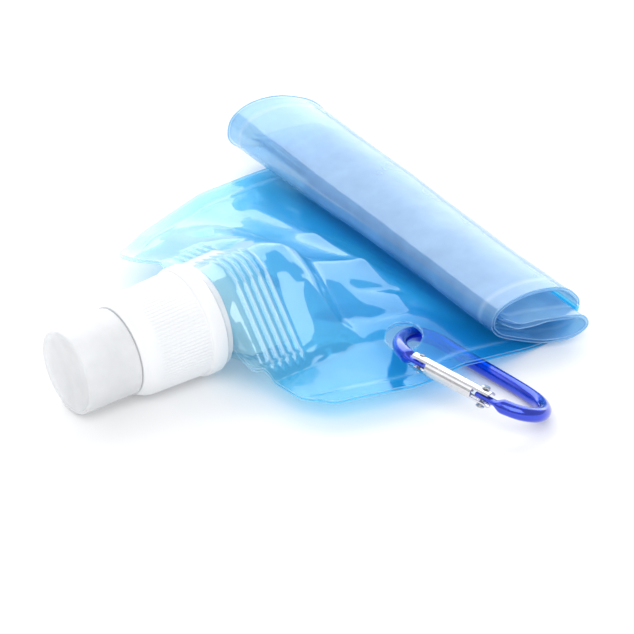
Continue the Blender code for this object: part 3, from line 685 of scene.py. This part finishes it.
def film_solid(outer, inner):
    """A sheet between two grids of points; its faces round the edge come last."""
    rows, columns = outer.shape[:2]
    count = rows * columns
    points = np.concatenate((outer.reshape(-1, 3), inner.reshape(-1, 3)))
    faces = []
    for r in range(rows - 1):
        for c in range(columns - 1):
            a, b = r * columns + c, (r + 1) * columns + c
            faces.append((a, a + 1, b + 1, b))
            faces.append((count + a, count + b, count + b + 1, count + a + 1))
    rim = list(range(columns))
    rim += [r * columns + columns - 1 for r in range(1, rows)]
    rim += [(rows - 1) * columns + c for c in range(columns - 2, -1, -1)]
    rim += [r * columns for r in range(rows - 2, 0, -1)]
    for here, after in zip(rim, rim[1:] + rim[:1]):
        faces.append((here, count + here, count + after, after))
    return points, faces, len(rim)


def painted_shade_at(x, y):
    """Painted shade: how deep the blue of the film is painted, clear at the spout and deepest by the
    carabiner, standing in for the roll's shadow and dark reflection.
    """
    depth = at(ROLL_SHADE_ALONG, y + 0.25 * np.maximum(0, x - 20))
    return depth * at(SHADE_ACROSS, x)


def milkiness(x, y):
    """How milky the film looks: most in front of the roll, and clear by the carabiner; the rise in front of
    the roll is painted light that brightens the film where the roll shades it.
    """
    return at(ROLL_SHADE_ALONG, y) * at(MILK_ACROSS, x)


def make_body_film(name, side, puff, node, film, edge):
    """One face of the pouch, from the neck to the last fold; side is 1 above and -1 below."""
    fine, coarse = np.arange(NECK_Y, FINE_END, FINE_ROW), np.arange(FINE_END, BODY_END, COARSE_ROW)
    rows = np.concatenate((fine, coarse))[:, None]
    u = np.linspace(-1, 1, FILM_COLUMNS)[None, :]
    x, y = body_place(rows, u)
    extra, weld_highlight = film_detail(x, y, u, side)
    share = eased(((60, 1), (75, 0)), y)
    height = share * spout_section(x, y, u, side) + (1 - share) * water_section(x, y, u, side, puff)
    height = height + side * extra
    outer = np.stack((x, y, height), axis=2)
    inner = np.stack((x, y, height - side * FILM_THICKNESS), axis=2)
    bend = smooth_path(FOLD_START, 4)
    angle = np.radians(bend[:, 2])[:, None]
    fold_x = np.abs(u) * np.where(u < 0, at(LEFT_EDGE, bend[:, :1]), at(RIGHT_EDGE, bend[:, :1]))
    grids = []
    for grid, offset in ((outer, SEAL_OFFSET), (inner, SEAL_OFFSET - FILM_THICKNESS)):
        fold_y = bend[:, :1] - side * offset * np.sin(angle)
        fold_z = bend[:, 1:2] + side * offset * np.cos(angle)
        fold = np.stack(np.broadcast_arrays(fold_x, fold_y, fold_z), axis=2)
        grids.append(np.concatenate((grid, fold)))
    points, faces, rim_count = film_solid(*grids)
    piece = mesh_object(name, points, faces, POUCH)
    weld_highlight = np.concatenate((weld_highlight, np.zeros((len(bend), FILM_COLUMNS)))).ravel()
    set_values(piece, "weld_highlight", np.tile(weld_highlight, 2))
    # painted shade: the tint is painted deeper towards the roll and the carabiner, for the roll's shadow and
    # dark reflection
    set_values(piece, "painted_shade", painted_shade_at(points[:, 0], points[:, 1]))
    set_values(piece, "milky", milkiness(points[:, 0], points[:, 1]))
    piece.data.materials.append(film)
    piece.data.materials.append(edge)
    for polygon in piece.data.polygons[len(faces) - rim_count:]:
        polygon.material_index = 1
    hole = rod_between((*HOLE_CENTRE, -5), (*HOLE_CENTRE, 20), HOLE_R, 96)
    cutter = mesh_object("hole_cutter", *hole, POUCH)
    cutter.data.materials.append(film)
    cutter.data.materials.append(edge)
    for polygon in cutter.data.polygons:
        polygon.material_index = 1
    cut(piece, cutter)
    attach(piece, "pouch")
    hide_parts(node)


def roll_stations(steps=8):
    """Middle line of the rolled films: point, unit normal, left and right edge, distance to the base end."""
    path = smooth_path(ROLL_PATH, steps)
    line = path[:, :2]
    direction = np.gradient(line, axis=0)
    direction /= np.linalg.norm(direction, axis=1)[:, None]
    direction[0] = (0, 1)
    lengths = np.append(np.linalg.norm(np.diff(line, axis=0), axis=1), 0)
    to_end = np.cumsum(lengths[::-1])[::-1]
    normal = np.stack((-direction[:, 1], direction[:, 0]), axis=1)
    return line, normal, path[:, 2], path[:, 3], to_end


def edge_bead(line, across, outwards):
    """A thin round bead along the cut edge of a sheet."""
    angle = 2 * math.pi * np.arange(8) / 8
    ring = np.cos(angle)[None, :, None] * across[:, None, :] + np.sin(angle)[None, :, None] * outwards
    return swept_solid(list(line[:, None, :] + EDGE_BEAD_R * ring))


def make_rolled_film(name, side, slot, node, film, edge):
    """One film of the rolled base; side is 1 for the film inside the first turn and -1 for the other."""
    line, normal, left, right, to_end = roll_stations()
    spread = ROLL_BASE_SPREAD * np.clip((11 - to_end) / 3, 0, 1)
    share = np.linspace(0, 1, ROLL_COLUMNS)[None, :]
    x = left[:, None] + (right - left)[:, None] * share
    inside = np.minimum(x - left[:, None], right[:, None] - x)
    distance = to_end[0] - to_end[:, None]
    waves = 0.16 * np.sin(x / 13 + distance / 7) * np.sin(distance / 9 + 0.6)
    waves = waves + 0.07 * np.sin(x / 5.2 - distance / 6)
    waves = waves * np.clip(distance / 6, 0, 1) * np.clip(to_end[:, None] / 12, 0, 1)
    seam = 0.16 * np.exp(-((inside - SEAL_BAND) / 0.6) ** 2)
    flare = ROLL_FLARE * (1 - share) ** 2 * np.sin(math.pi * np.clip(distance / FIRST_TURN, 0, 1))
    offset = side * (ROLL_OFFSET + spread)[:, None] + waves - side * seam * 0.5 - flare
    y = line[:, :1] + normal[:, :1] * offset
    z = line[:, 1:] + normal[:, 1:] * offset
    grid = np.stack((x, y, z), axis=2)
    rows, columns = grid.shape[:2]
    faces = []
    for r in range(rows - 1):
        for c in range(columns - 1):
            a, b = r * columns + c, (r + 1) * columns + c
            faces.append((a, a + 1, b + 1, b))
    sheet_count = len(faces)
    points = list(grid.reshape(-1, 3))
    away = np.stack((np.zeros(rows), normal[:, 0], normal[:, 1]), axis=1)
    for column in (0, -1):
        bead_points, bead_faces = edge_bead(grid[:, column], away, np.array((1.0, 0, 0)))
        start = len(points)
        points += list(bead_points)
        faces += [tuple(start + k for k in face) for face in bead_faces]
    piece = mesh_object(name, points, faces, POUCH, 60)
    for polygon in piece.data.polygons[sheet_count:]:
        polygon.material_index = 1
    weld_highlight = np.zeros(len(points))
    # the roll's seal seam is painted whiter, as a highlight
    weld_highlight[:rows * columns] = (seam / 0.16 * 0.5).ravel()
    set_values(piece, "weld_highlight", weld_highlight)
    dress(piece, "roll", slot, [node], film, edge)


# ---- carabiner ----
def rod_rings(path, sides):
    """Elliptical rings along a flat path of (along, across, half thickness)."""
    line = path[:, :2]
    direction = np.gradient(line, axis=0)
    direction /= np.linalg.norm(direction, axis=1)[:, None]
    angle = 2 * math.pi * np.arange(sides) / sides
    rings = []
    for (along, across, thickness), (dx, dy) in zip(path, direction):
        share = np.clip((thickness - TONGUE_HALF_THICKNESS) / (ROD_R - TONGUE_HALF_THICKNESS), 0, 1)
        width = TONGUE_HALF_WIDTH + (ROD_R - TONGUE_HALF_WIDTH) * share
        side = width * np.cos(angle)
        rings.append(np.stack((along - dy * side, across + dx * side, thickness * np.sin(angle)), axis=1))
    return rings


def make_carabiner(anodised):
    path = smooth_path(ROD_PATH, 7)
    path[:, 2] = np.clip(path[:, 2], TONGUE_HALF_THICKNESS, ROD_R)
    piece = mesh_object("carabiner_rod", *swept_solid(rod_rings(path, 40)), CARABINER)
    for name, place, radius in (("tang", RIVET_AT, RIVET_HOLE_R), ("notch", PIN_AT, PIN_NOTCH_R)):
        cut(piece, mesh_object(name, *rod_between((*place, -4), (*place, 4), radius), CARABINER))
    low = (PIN_AT[0] - PIN_NOTCH_R, PIN_AT[1], -3.9)
    high = (PIN_AT[0] + PIN_NOTCH_R, PIN_AT[1] + 3, 3.9)
    cut(piece, mesh_object("mouth", *box_between(low, high), CARABINER))
    dress(piece, "carabiner", "blue_anodised_aluminium", ["carabiner_body"], anodised)


# ---- materials ----
def new_material(name):
    made = bpy.data.materials.new(name)
    made.use_nodes = True
    made.node_tree.nodes.clear()
    return made, made.node_tree


def add(tree, kind, inputs=None, **settings):
    """Adds a shader node; an input is a constant or another node's output."""
    made = tree.nodes.new("ShaderNode" + kind)
    for key, value in settings.items():
        setattr(made, key, value)
    for key, value in (inputs or {}).items():
        if isinstance(value, bpy.types.NodeSocket):
            tree.links.new(value, made.inputs[key])
        else:
            made.inputs[key].default_value = value
    return made


def close(tree, surface):
    add(tree, "OutputMaterial", {"Surface": surface})


def noise(tree, scale, detail=3.0, stretch=(1, 1, 1)):
    """Fine or broad unevenness; scale is in waves for each metre."""
    place = add(tree, "Mapping", {"Vector": add(tree, "TexCoord").outputs["Object"], "Scale": stretch})
    shape = {"Vector": place.outputs["Vector"], "Scale": scale, "Detail": detail}
    return add(tree, "TexNoise", shape).outputs["Fac"]


def bump(tree, height, strength, distance):
    made = add(tree, "Bump", {"Height": height, "Strength": strength, "Distance": distance})
    return made.outputs["Normal"]


def spread(tree, value, low, high):
    """Maps the middle of a noise onto a range."""
    ends = {"Value": value, "From Min": 0.3, "From Max": 0.7, "To Min": low, "To Max": high}
    return add(tree, "MapRange", ends).outputs["Result"]


def blended(tree, factor, first, second):
    """A colour between two colours."""
    made = add(tree, "Mix", {0: factor, 6: (*first, 1.0), 7: (*second, 1.0)}, data_type="RGBA")
    return made.outputs[2]


def mirror_share(tree, normal, base=0.04, gain=0.96):
    """How much a smooth plastic surface mirrors: little face on and much at a low angle, on either side."""
    facing = add(tree, "LayerWeight", {"Blend": 0.5, "Normal": normal}).outputs["Facing"]
    steep = add(tree, "Math", {0: facing, 1: 5.0}, operation="POWER").outputs[0]
    share = add(tree, "Math", {0: steep, 1: gain, 2: base}, operation="MULTIPLY_ADD", use_clamp=True)
    return share.outputs[0]


def scaled(tree, value, gain, base):
    """value * gain + base"""
    return add(tree, "Math", {0: value, 1: gain, 2: base}, operation="MULTIPLY_ADD").outputs[0]


def film_material(name, tint, shaded_tint, body, haze):
    """Tinted clear film: light passes through it coloured, with a milky body and a sharp gloss.

    The piece's own values steer it: the weld value whitens it as a painted highlight on the welds, the shade
    value deepens its tint as painted shade by the roll and paints its gloss stronger by the spout and weaker
    by the roll, and the milky value adds to its body, partly as painted light in front of the roll.
    """
    made, tree = new_material(name)
    broad = noise(tree, 70)
    normal = bump(tree, noise(tree, 160, 2.0), 0.3, 0.0003)
    weld_highlight = add(tree, "Attribute", attribute_name="weld_highlight").outputs["Fac"]
    painted_shade = add(tree, "Attribute", attribute_name="painted_shade").outputs["Fac"]
    painted_light_milk = add(tree, "Attribute", attribute_name="milky").outputs["Fac"]
    # welds are painted milkier, as a highlight along the weld ribs and seam
    milky = scaled(tree, weld_highlight, WELD_HIGHLIGHT_MILK, spread(tree, broad, haze * 0.8, haze * 1.2))
    # painted light: the milky lift brightens the film in front of the roll, where the roll shades it
    milky = add(tree, "Math", {0: painted_light_milk, 1: PAINTED_LIGHT_MILK, 2: milky}, operation="MULTIPLY_ADD", use_clamp=True)
    brighter = tuple(min(1.0, c * 1.12 + 0.02) for c in body)
    plain = blended(tree, spread(tree, broad, 0.0, 1.0), body, brighter)
    # welds are painted whiter, as a highlight along the weld ribs and seam
    colour = add(tree, "Mix", {0: weld_highlight, 6: plain, 7: WELD_HIGHLIGHT_WHITE}, data_type="RGBA").outputs[2]
    # the clear part's tint is painted deeper where the roll shades the film
    clear = add(tree, "BsdfTransparent", {"Color": blended(tree, painted_shade, tint, shaded_tint)})
    lit = add(tree, "BsdfPrincipled", {"Base Color": colour, "Roughness": 0.4, "Normal": normal})
    through = add(tree, "BsdfTranslucent", {"Color": colour})
    solid = add(tree, "MixShader", {0: 0.4, 1: lit.outputs[0], 2: through.outputs[0]})
    inner = add(tree, "MixShader", {0: milky.outputs[0], 1: clear.outputs[0], 2: solid.outputs[0]})
    shine = add(tree, "BsdfGlossy", {"Color": (1, 1, 1, 1), "Roughness": 0.07, "Normal": normal})
    mirrored = mirror_share(tree, normal, 0.05, 0.45)
    # painted reflection: the gloss is painted stronger by the spout and weaker by the roll, where the dark
    # roll shows in it
    painted_gloss_gain = scaled(tree, painted_shade, -1.3, 1.6)
    share = add(tree, "Math", {0: mirrored, 1: painted_gloss_gain}, operation="MULTIPLY").outputs[0]
    close(tree, add(tree, "MixShader", {0: share, 1: inner.outputs[0], 2: shine.outputs[0]}).outputs[0])
    return made


def plastic_material(name, colour, roughness, subsurface):
    """Moulded plastic, slightly waxy, with a fine uneven skin."""
    made, tree = new_material(name)
    broad = noise(tree, 90)
    normal = bump(tree, noise(tree, 900, 4.0), 0.25, 0.00008)
    tone = blended(tree, spread(tree, broad, 0.0, 1.0), tuple(c * 0.97 for c in colour), colour)
    shade = {
        "Base Color": tone,
        "Roughness": spread(tree, noise(tree, 300), roughness - 0.05, roughness + 0.05),
        "Subsurface Weight": subsurface,
        "Subsurface Radius": (1.0, 0.95, 0.9),
        "Subsurface Scale": 0.002,
        "Normal": normal,
    }
    close(tree, add(tree, "BsdfPrincipled", shade).outputs[0])
    return made


def frosted_material(name, colour, body_share, roughness=0.3):
    """Milky translucent plastic."""
    made, tree = new_material(name)
    broad = noise(tree, 110)
    normal = bump(tree, noise(tree, 700, 3.0), 0.2, 0.00008)
    tone = blended(tree, spread(tree, broad, 0.0, 1.0), tuple(c * 0.97 for c in colour), colour)
    clear = add(tree, "BsdfTransparent", {"Color": (0.96, 0.97, 0.98, 1.0)})
    solid = add(tree, "BsdfPrincipled", {"Base Color": tone, "Roughness": roughness, "Normal": normal})
    share = spread(tree, broad, body_share - 0.04, body_share + 0.04)
    close(tree, add(tree, "MixShader", {0: share, 1: clear.outputs[0], 2: solid.outputs[0]}).outputs[0])
    return made


def metal_material(name, colour, roughness, grain=(1, 1, 1), coat=0.0):
    """Metal with faint drawing marks along the grain."""
    made, tree = new_material(name)
    marks = noise(tree, 500, 4.0, grain)
    tone = blended(tree, spread(tree, noise(tree, 150), 0.0, 1.0), tuple(c * 0.9 for c in colour), colour)
    shade = {
        "Base Color": tone,
        "Metallic": 1.0,
        "Roughness": spread(tree, marks, roughness * 0.8, roughness * 1.25),
        "Coat Weight": coat,
        "Coat Roughness": 0.08,
        "Normal": bump(tree, marks, 0.12, 0.00005),
    }
    close(tree, add(tree, "BsdfPrincipled", shade).outputs[0])
    return made


def floor_material():
    made, tree = new_material("pale table")
    tone = blended(tree, spread(tree, noise(tree, 3), 0.0, 1.0), (0.80, 0.80, 0.80), (0.82, 0.82, 0.82))
    shade = {"Base Color": tone, "Roughness": 0.9, "Emission Color": (1, 1, 1, 1), "Emission Strength": 0.12}
    close(tree, add(tree, "BsdfPrincipled", shade).outputs[0])
    return made


# ---- stage ----
def compass(azimuth, elevation):
    """Unit direction from the object towards a place round it."""
    a, e = math.radians(azimuth), math.radians(elevation)
    return Vector((math.sin(a) * math.cos(e), -math.cos(a) * math.cos(e), math.sin(e)))


def look_at(obj, target):
    obj.rotation_euler = (target - obj.location).to_track_quat("-Z", "Y").to_euler()


def softbox(name, azimuth, elevation, distance, width, height, radiance):
    """A rectangular light that faces the object and shows this radiance in reflections."""
    light = bpy.data.lights.new(name, "AREA")
    light.shape = "RECTANGLE"
    light.size = width
    light.size_y = height
    light.energy = radiance * math.pi * width * height
    made = bpy.data.objects.new(name, light)
    made.location = VIEW_AIM + compass(azimuth, elevation) * distance
    look_at(made, VIEW_AIM)
    bpy.context.scene.collection.objects.link(made)


def make_stage():
    half = 4.0
    mesh = bpy.data.meshes.new("floor")
    corners = [(-half, -half, 0), (half, -half, 0), (half, half, 0), (-half, half, 0)]
    mesh.from_pydata(corners, [], [(0, 1, 2, 3)])
    floor = bpy.data.objects.new("floor", mesh)
    mesh.materials.append(floor_material())
    bpy.context.scene.collection.objects.link(floor)

    world = bpy.data.worlds.new("studio")
    world.use_nodes = True
    world.node_tree.nodes["Background"].inputs["Color"].default_value = (0.96, 0.97, 1.0, 1.0)
    world.node_tree.nodes["Background"].inputs["Strength"].default_value = 0.58
    bpy.context.scene.world = world
    bpy.context.scene.view_settings.view_transform = "Standard"

    opposite = VIEW_AZIMUTH + 180
    softbox("back panel", opposite, 30, 1.6, 2.6, 2.1, 2.0)
    softbox("key", VIEW_AZIMUTH - 70, 50, 1.5, 1.2, 1.0, 0.8)
    softbox("front fill", VIEW_AZIMUTH + 15, 48, 1.7, 1.6, 1.2, 2.4)

    camera = bpy.data.objects.new("camera", bpy.data.cameras.new("camera"))
    camera.data.lens = VIEW_LENS
    camera.data.clip_end = 20
    camera.location = VIEW_AIM + compass(VIEW_AZIMUTH, VIEW_ELEVATION) * VIEW_DISTANCE
    look_at(camera, VIEW_AIM)
    bpy.context.scene.collection.objects.link(camera)
    bpy.context.scene.camera = camera


def repaint(node, made):
    """Gives a CAD node that stays its material."""
    mesh = frame["nodes"][node].data
    mesh.materials.clear()
    mesh.materials.append(made)


def main():
    film = film_material("blue film", (0.84, 0.965, 0.995), (0.36, 0.83, 0.98), (0.02, 0.58, 1.0), 0.07)
    # The rolled film is a paler, milkier copy of the film: its milkier body hides the inner turns, and its
    # paler body colour is a painted sheen of the bright surround.
    roll_tint = (0.64, 0.87, 0.97)
    rolled = film_material("blue film, rolled", roll_tint, roll_tint, (0.36, 0.60, 0.84), 0.42)
    edge_tint = (0.75, 0.88, 0.98)
    edge = film_material("cut film edge", edge_tint, edge_tint, (0.55, 0.72, 0.95), 0.4)
    white = plastic_material("white cap plastic", (0.87, 0.88, 0.89), 0.38, 0.15)
    valve = plastic_material("white valve plastic", (0.84, 0.86, 0.88), 0.32, 0.15)
    frosted = frosted_material("frosted overcap plastic", (0.94, 0.945, 0.95), 0.62)
    spout = frosted_material("clear spout plastic", (0.96, 0.975, 1.0), 0.6)
    silicone = plastic_material("soft silicone", (0.80, 0.82, 0.82), 0.55, 0.2)
    anodised = metal_material("blue anodised aluminium", (0.05, 0.09, 0.72), 0.2, coat=0.6)
    steel = metal_material("bright gate steel", (0.78, 0.78, 0.80), 0.24, (1, 6, 6))
    rivet = metal_material("rivet steel", (0.62, 0.63, 0.65), 0.25)
    spring = metal_material("spring steel", (0.50, 0.51, 0.53), 0.3)

    make_body_film("film_front", 1, PUFF_ABOVE, "front_film", film, edge)
    make_body_film("film_back", -1, PUFF_BELOW, "back_film", film, edge)
    make_rolled_film("rolled_film_front", 1, "blue_film_rolled_inside", "rolled_front_film", rolled, edge)
    make_rolled_film("rolled_film_back", -1, "blue_film_rolled_outside", "rolled_back_film", rolled, edge)
    make_spout(spout)
    make_collar(white)
    make_nozzle(valve)
    make_overcap(frosted)
    make_carabiner(anodised)
    repaint("seal_ring", silicone)
    repaint("base_gusset", rolled)
    repaint("gate", steel)
    repaint("gate_rivet", rivet)
    repaint("catch_pin", rivet)
    repaint("gate_spring", spring)
    make_stage()


main()
